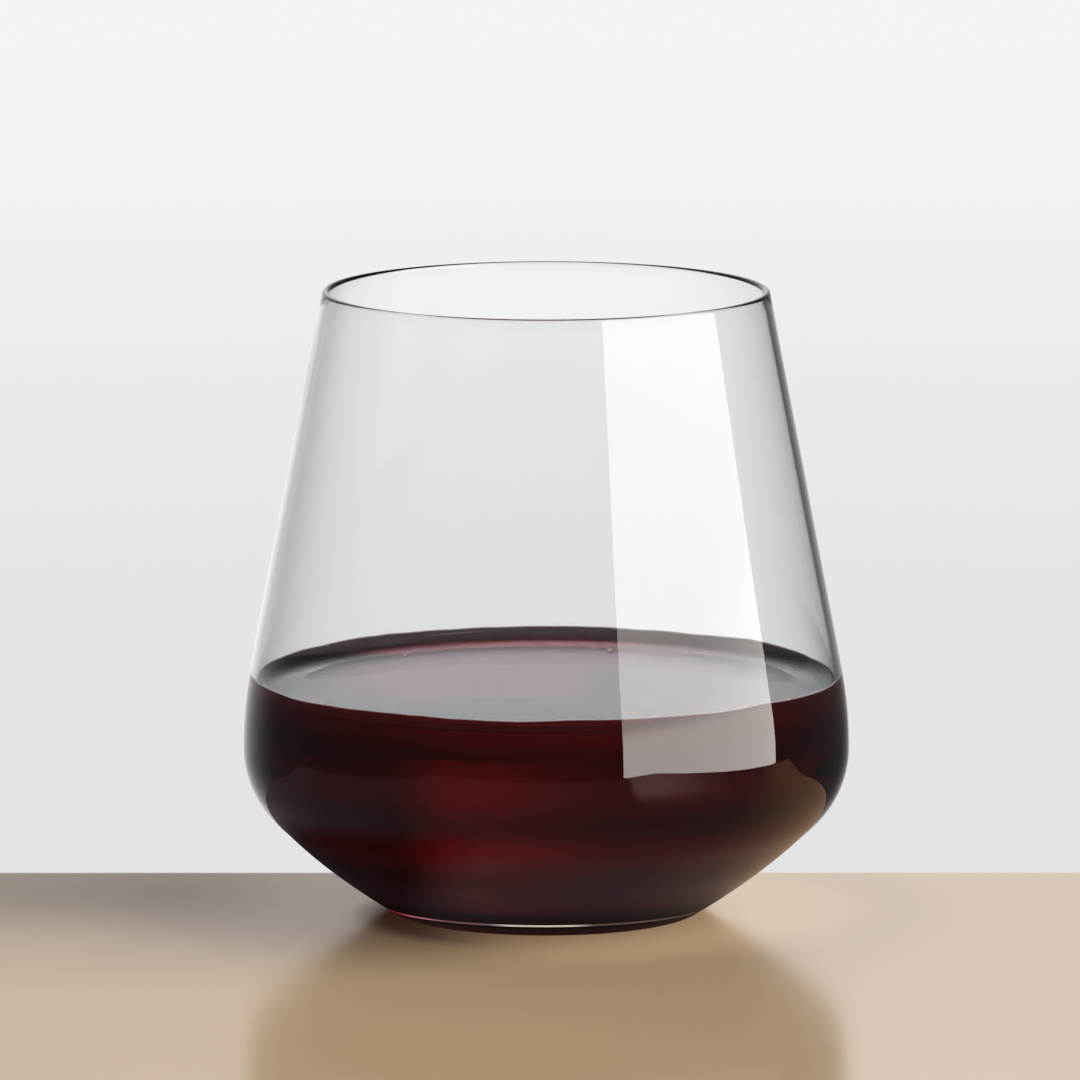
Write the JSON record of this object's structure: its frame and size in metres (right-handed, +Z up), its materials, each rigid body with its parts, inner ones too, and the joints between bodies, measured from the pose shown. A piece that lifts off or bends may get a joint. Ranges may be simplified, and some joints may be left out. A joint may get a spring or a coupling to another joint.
{
  "type": "stemless wine glass",
  "caption": "Wide stemless tumbler of thin clear glass with a low shoulder and a small flat foot, part filled with red wine.",
  "frame": {"origin": "centre of the foot, on the surface that the glass stands on", "axes": "+Z up along the axis that the glass and the wine are turned about; -Y faces the viewer of the picture"},
  "size_m": [0.1, 0.1, 0.103],
  "materials": {
    "clear_glass": "clear, fire polished",
    "red_wine": "still liquid, mirror smooth on top",
    "wine_film": "thin wet film"
  },
  "bodies": {
    "root": {"glass": "clear_glass", "wine": "red_wine", "bubbles": "wine_film"}
  },
  "joints": []
}
